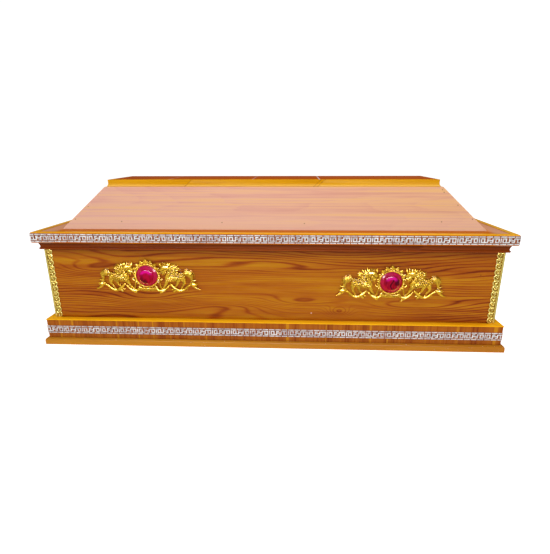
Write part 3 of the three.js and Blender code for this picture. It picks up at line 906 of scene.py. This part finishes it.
    # tail hair, arching over and down
    for count in range(7):
        reach = 7 + 4.7 * count
        out = math.sqrt(max(4, 14.5**2 - (reach - 21) ** 2)) - 0.5
        strand = []
        last = 176 + chance.uniform(-14, 18)
        for step in range(5):
            angle = math.radians(76 + (last - 76) * step / 4)
            width = (1.9, 2.3, 2.4, 2.1, 1.2)[step]
            strand.append((-174 + reach * math.cos(angle), -5 + reach * math.sin(angle), out, width))
        strands.append(strand)
    # leaf veins at the outer end
    for angle in (150, 175, 200, 225):
        strands.append(lock(-197, -36, angle, 17, 12, 2.8, 11))
    strands.append(spiral(-152, -3, 9, 40, 1.2, 2.6, 18))
    return strands


def mirrored(strands):
    """The same strands facing the other way."""
    return [[(-x, y, out, radius) for x, y, out, radius in strand] for strand in strands]


def circle(radius, out, width, start=0, end=360, rise=0):
    """A rail round the jewel, further out towards its top by the rise."""
    steps = int(abs(end - start) / 7.5)
    rail = []
    for step in range(steps + 1):
        angle = math.radians(start + (end - start) * step / steps)
        reach = radius + rise * max(0, math.sin(angle)) ** 2
        rail.append((reach * math.cos(angle), reach * math.sin(angle), out, width))
    return rail


def setting(chance):
    """The ring round the jewel, its leafy crest, and the pedestal under it."""
    strands = [circle(49.8, 5, 3.6), circle(54.5, 3, 3, -38, 218, 3)]
    for angle in (-28, -6, 14, 33, 52, 71, 90, 109, 128, 147, 166, 186, 208):
        upper = max(0, math.sin(math.radians(angle)))
        size = (3.8 + 4.2 * upper) * (1.2 if angle == 90 else chance.uniform(0.95, 1.05))
        reach = 54 + 4 * upper
        x = reach * math.cos(math.radians(angle))
        y = reach * math.sin(math.radians(angle))
        for turn, length in ((-62, 1.15), (62, 1.15), (0, 1.7)):
            heading = math.radians(angle + turn)
            leaflet = []
            for share, width in ((0, 0.5), (0.55, 0.66), (1, 0.56)):
                along = size * length * share
                tip = (x + along * math.cos(heading), y + along * math.sin(heading))
                leaflet.append((*tip, 8 if turn else 11, size * width))
            strands.append(leaflet)
        between = math.radians(angle + 9.5)
        thorn = [(54 + step * 3, 3 - step) for step in range(3)]
        strands.append([(far * math.cos(between), far * math.sin(between), 7, width) for far, width in thorn])
    for sign in (-1, 1):
        strands.append(
            [(sign * 30, -44, 4, 4), (sign * 39, -50, 4, 4), (sign * 43, -60, 4, 4.4), (sign * 37, -65, 4, 3)]
        )
        strands.append(spiral(sign * 38, -57, 6, 90, sign, 2.4, 8))
    strands += [
        [(-42, -63, 3, 3), (-20, -65, 4, 3.6), (0, -66, 4, 3.8), (20, -65, 4, 3.6), (42, -63, 3, 3)],
        [(-36, -53, 3, 3), (-18, -57, 4, 3), (0, -58, 4, 3), (18, -57, 4, 3), (36, -53, 3, 3)],
        [(-38, -58, 1, 4.4), (0, -61, 1, 5), (38, -58, 1, 4.4)],
    ]
    for count in range(11):
        x = -30 + count * 6
        strands.append([(x, -56, 6, 2), (x, -61, 7, 2.6), (x, -66, 6, 2)])
    return strands


# Beads on the left beast and its vine, as x, y, height and radius in mm
BEADS = (
    (-75, 40, 18.5, 2.4),
    (-103, -41, 6, 5.4),
    (-88, -50, 6, 4.2),
    (-134, -66, 6, 5.4),
    (-61, 27, 12, 2),
    (-227, -61, 4, 3.4),
)
RING_BEADS = 60

# Each ornament's place, its seed, and whether one end of its scroll is bent down
ORNAMENTS = (
    ("front_left", 3, False),
    ("front_right", 8, True),
    ("back_left", 3, False),
    ("back_right", 8, True),
)


def ornament(name, seed, bent):
    """Two beasts, a vine and the jewel's setting as one casting, round the jewel's centre."""
    chance = random.Random(seed)
    strands = beast(chance) + mirrored(beast(chance)) + setting(chance)
    if bent:
        strands.append([(67, -67, 4, 4), (58, -75, 4, 4.6), (50, -82, 4, 4.2), (43, -86, 3, 3)])
    shape = strands_shape(name, strands)
    for step in range(RING_BEADS):
        angle = step / RING_BEADS * math.tau
        bead(shape, 51 * math.cos(angle), 51 * math.sin(angle), 9.4, 2.3, 1)
    for sign in (-1, 1):
        for x, y, out, radius in BEADS:
            bead(shape, -sign * x, y, out, radius)
    return fused(name, shape)


def seat(node, place):
    """Where an ornament's own x, y and height lie on the coffin: on its wall, round the jewel's centre."""
    low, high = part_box(node)
    centre = (low + high) / 2
    wall_low, wall_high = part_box("wall_front" if place.startswith("front") else "wall_back")
    face_y, turn = (wall_low.y, 0) if place.startswith("front") else (wall_high.y, math.pi)
    return Matrix.Translation((centre.x, face_y, centre.z)) @ Matrix.Rotation(turn, 4, "Z") @ UPRIGHT


for place, seed, bent in ORNAMENTS:
    casting = ornament("ornament_" + place, seed, bent)
    bmesh.ops.transform(casting, matrix=seat("jewel_" + place, place), verts=casting.verts)
    new_piece("ornament_" + place + "_casting", casting, [gilt], ["ornament_" + place], smooth=70)


# The jewels

# Radius and height in mm, from the top of the dome out to its foot
JEWEL_PROFILE = (
    (0, 19), (10, 18.9), (18, 18.6), (24, 17.9), (27, 17.2), (29.4, 16.2), (31.2, 14.8),
    (32.6, 13.2), (34, 11.4), (38, 8), (42, 5.4), (45.4, 3.6), (46.3, 2.8), (46.3, 0.4),
)
# Where the dome ends and the bevel round it begins
BEVEL_START = 33.2


def jewel(place):
    """The profile turned round into a dome with a bevel."""
    shape = bmesh.new()
    corners = [shape.verts.new((radius * MM, 0, out * MM)) for radius, out in JEWEL_PROFILE]
    foot = shape.verts.new((0, 0, JEWEL_PROFILE[-1][1] * MM))
    line = corners + [foot]
    edges = [shape.edges.new(pair) for pair in zip(line, line[1:])]
    turn = {"cent": (0, 0, 0), "axis": (0, 0, 1), "angle": math.tau, "steps": 96}
    bmesh.ops.spin(shape, geom=line + edges, use_merge=True, **turn)
    bmesh.ops.remove_doubles(shape, verts=shape.verts, dist=0.005 * MM)
    bmesh.ops.recalc_face_normals(shape, faces=shape.faces)
    for face in shape.faces:
        middle = face.calc_center_median()
        face.material_index = int(math.hypot(middle.x, middle.y) > BEVEL_START * MM)
    name = "jewel_" + place
    bmesh.ops.transform(shape, matrix=seat(name, place), verts=shape.verts)
    side = place.split("_")[1]
    new_piece(name + "_dome", shape, [glass[side], bevel], [name], smooth=34)


for place, _, _ in ORNAMENTS:
    jewel(place)


# The gilt corner trims

# From curl to curl, the sheet's width, and the radius of its scallops, in mm
TRIM_PITCH = 24
TRIM_SHEET = 21
TRIM_SCALLOP = 11.6


def trim_strands(height, middles):
    """The rail and the curls of one leg: x runs from the corner inwards, y upwards."""
    strands = [[(3.4, y, 1.2, 2.6) for y in (1, height * 0.3, height * 0.7, height - 1)]]
    for middle in middles:
        strands.append(
            [(8, middle - 11, 1, 1.2), (16, middle - 12, 1.6, 1.9), (26, middle - 9.5, 1.8, 2.3),
             (31.4, middle, 1.8, 2.4), (27, middle + 9.5, 1.8, 2.3), (18, middle + 10.5, 1.8, 2),
             (12.4, middle + 4, 1.8, 1.8), (15, middle - 4, 1.8, 1.6), (20.5, middle - 5, 1.8, 1.3)]
        )
        strands.append(lock(9, middle + 11, -60, 13, 60, 1.7, 1.8))
        strands.append(lock(24, middle + 10.5, 20, 6, 40, 1.4, 1.6))
    return strands


def trim_leg(name, height):
    """One leg of a trim, flat: its curls and beads, and the sheet with a scalloped edge that carries them."""
    count = int(height // TRIM_PITCH)
    start = (height - count * TRIM_PITCH) / 2
    middles = [start + (step + 0.5) * TRIM_PITCH for step in range(count)]
    shape = strands_shape(name, trim_strands(height, middles), sections=3)
    for middle in middles:
        bead(shape, 21, middle + 1.5, 1.8, 2.4)
        bead(shape, 8.6, middle, 1.6, 1.5, 1)
    sheet = bmesh.ops.create_grid(shape, x_segments=1, y_segments=1, size=0.5)["verts"]
    bmesh.ops.scale(shape, vec=(TRIM_SHEET * MM, height * MM, 1), verts=sheet)
    bmesh.ops.translate(shape, vec=(TRIM_SHEET / 2 * MM, height / 2 * MM, 0.5 * MM), verts=sheet)
    for middle in middles:
        disc = bmesh.ops.create_circle(shape, cap_ends=True, segments=20, radius=TRIM_SCALLOP * MM)["verts"]
        bmesh.ops.translate(shape, vec=(20.2 * MM, middle * MM, 0.55 * MM), verts=disc)
    return shape


def corner_trim(place):
    """Two legs round an upright corner of the walls."""
    name = "corner_trim_" + place
    low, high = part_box(name)
    shape = trim_leg(name, (high.z - low.z) / MM)
    leg = shape.copy()
    bmesh.ops.transform(shape, matrix=UPRIGHT, verts=shape.verts)
    round_corner = Matrix(((0, 0, -1, 0), (1, 0, 0, 0), (0, 1, 0, 0), (0, 0, 0, 1)))
    bmesh.ops.transform(leg, matrix=round_corner, verts=leg.verts)
    bmesh.ops.reverse_faces(leg, faces=leg.faces)
    mesh = as_mesh(name + "_leg", leg)
    shape.from_mesh(mesh)
    bpy.data.meshes.remove(mesh)
    wall_low, wall_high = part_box("wall_front")
    corner_x, mirror_x = (wall_low.x, 1) if place.endswith("left") else (wall_high.x, -1)
    corner_y, mirror_y = (wall_low.y, 1) if place.startswith("front") else (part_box("wall_back")[1].y, -1)
    bmesh.ops.scale(shape, vec=(mirror_x, mirror_y, 1), verts=shape.verts)
    if mirror_x * mirror_y < 0:
        bmesh.ops.reverse_faces(shape, faces=shape.faces)
    bmesh.ops.translate(shape, vec=(corner_x, corner_y, low.z), verts=shape.verts)
    new_piece(name + "_lace", shape, [pale_gilt], [name], smooth=50)


for place in ("front_left", "front_right", "back_right", "back_left"):
    corner_trim(place)


# The studio


def studio_floor():
    """A white floor that takes the coffin's shadow and keeps out of its gloss."""
    shape = bmesh.new()
    bmesh.ops.create_grid(shape, x_segments=1, y_segments=1, size=30)
    mesh = as_mesh("floor", shape)
    plain = Finish("studio_floor", roughness=0.95, ior=1.05)
    plain.shader.inputs["Emission Color"].default_value = (1, 1, 1, 1)
    plain.shader.inputs["Emission Strength"].default_value = 0.75
    speck = plain.noise(plain.place(), scale=3, detail=2)
    whites = ((0.4, (0.9, 0.9, 0.9, 1)), (0.6, (0.92, 0.92, 0.92, 1)))
    plain.finish(plain.ramp(speck, whites))
    mesh.materials.append(plain.material)
    floor = placed("floor", mesh)
    floor.visible_glossy = False


def studio_sky():
    """White behind the coffin, a softer white on it, and dimmer still in its gloss."""
    world = bpy.data.worlds.new("studio")
    scene.world = world
    world.use_nodes = True
    tree = world.node_tree
    path = tree.nodes.new("ShaderNodeLightPath")
    shades = []
    for strength in (1.05, 0.36, 0.1):
        shade = tree.nodes.new("ShaderNodeBackground")
        shade.inputs["Color"].default_value = (1, 1, 1, 1)
        shade.inputs["Strength"].default_value = strength
        shades.append(shade)
    backdrop, fill, gloss = shades

    def chosen(ray, otherwise, shade):
        """One shade for a kind of ray, and the other for all the rest."""
        mix = tree.nodes.new("ShaderNodeMixShader")
        for inlet, outlet in zip(mix.inputs, (path.outputs[ray], otherwise.outputs[0], shade.outputs[0])):
            tree.links.new(outlet, inlet)
        return mix

    seen = chosen("Is Camera Ray", chosen("Is Glossy Ray", fill, gloss), backdrop)
    tree.links.new(seen.outputs[0], tree.nodes["World Output"].inputs["Surface"])


def softbox(name, place, aim, width, height, power, matt=True, gloss=True):
    """An oblong light in metres and watts, which can be kept out of the matt light or out of the gloss."""
    light = bpy.data.lights.new(name, "AREA")
    light.shape = "RECTANGLE"
    light.size = width
    light.size_y = height
    light.energy = power
    holder = placed(name, light)
    holder.location = place
    holder.rotation_mode = "QUATERNION"
    holder.rotation_quaternion = (Vector(aim) - Vector(place)).to_track_quat("-Z", "Y")
    holder.visible_diffuse = matt
    holder.visible_glossy = gloss


# The photograph's own standpoint: yaw, pitch and roll in degrees, place in metres, lens in mm
CAMERA_TURN = (-2.8501, -17.1350, -0.22634)
CAMERA_PLACE = (0.10797, -1.95799, 0.82568)
CAMERA_LENS = 26.278
CAMERA_SENSOR = 36


def camera():
    """The camera that the photograph's corners were fitted with."""
    yaw, pitch, roll = (math.radians(value) for value in CAMERA_TURN)
    ahead = Vector((math.sin(yaw) * math.cos(pitch), math.cos(yaw) * math.cos(pitch), math.sin(pitch)))
    right = Vector((math.cos(yaw), -math.sin(yaw), 0))
    up = right.cross(ahead)
    right, up = (
        math.cos(roll) * right + math.sin(roll) * up,
        -math.sin(roll) * right + math.cos(roll) * up,
    )
    turn = Matrix((right, up, -ahead)).transposed().to_4x4()
    lens = bpy.data.cameras.new("camera")
    lens.sensor_width = CAMERA_SENSOR
    lens.lens = CAMERA_LENS
    holder = placed("camera", lens)
    holder.matrix_world = Matrix.Translation(CAMERA_PLACE) @ turn
    scene.camera = holder


studio_floor()
studio_sky()
softbox("overhead", (0.3, -1.0, 3.2), (0, 0, 0.5), 3.6, 1.6, 56, gloss=False)
softbox("front", (-0.6, -3.6, 2.2), (0, 0, 0.3), 2.4, 0.8, 14, gloss=False)
softbox("back", (0.2, 3.6, 2.4), (0, 0, 0.4), 3.0, 1.0, 40, gloss=False)
softbox("sheen", (-0.15, -2.45, 1.25), (-0.1, -0.3, 0.3), 3.6, 0.5, 125, matt=False)
camera()
scene.view_settings.view_transform = "Standard"
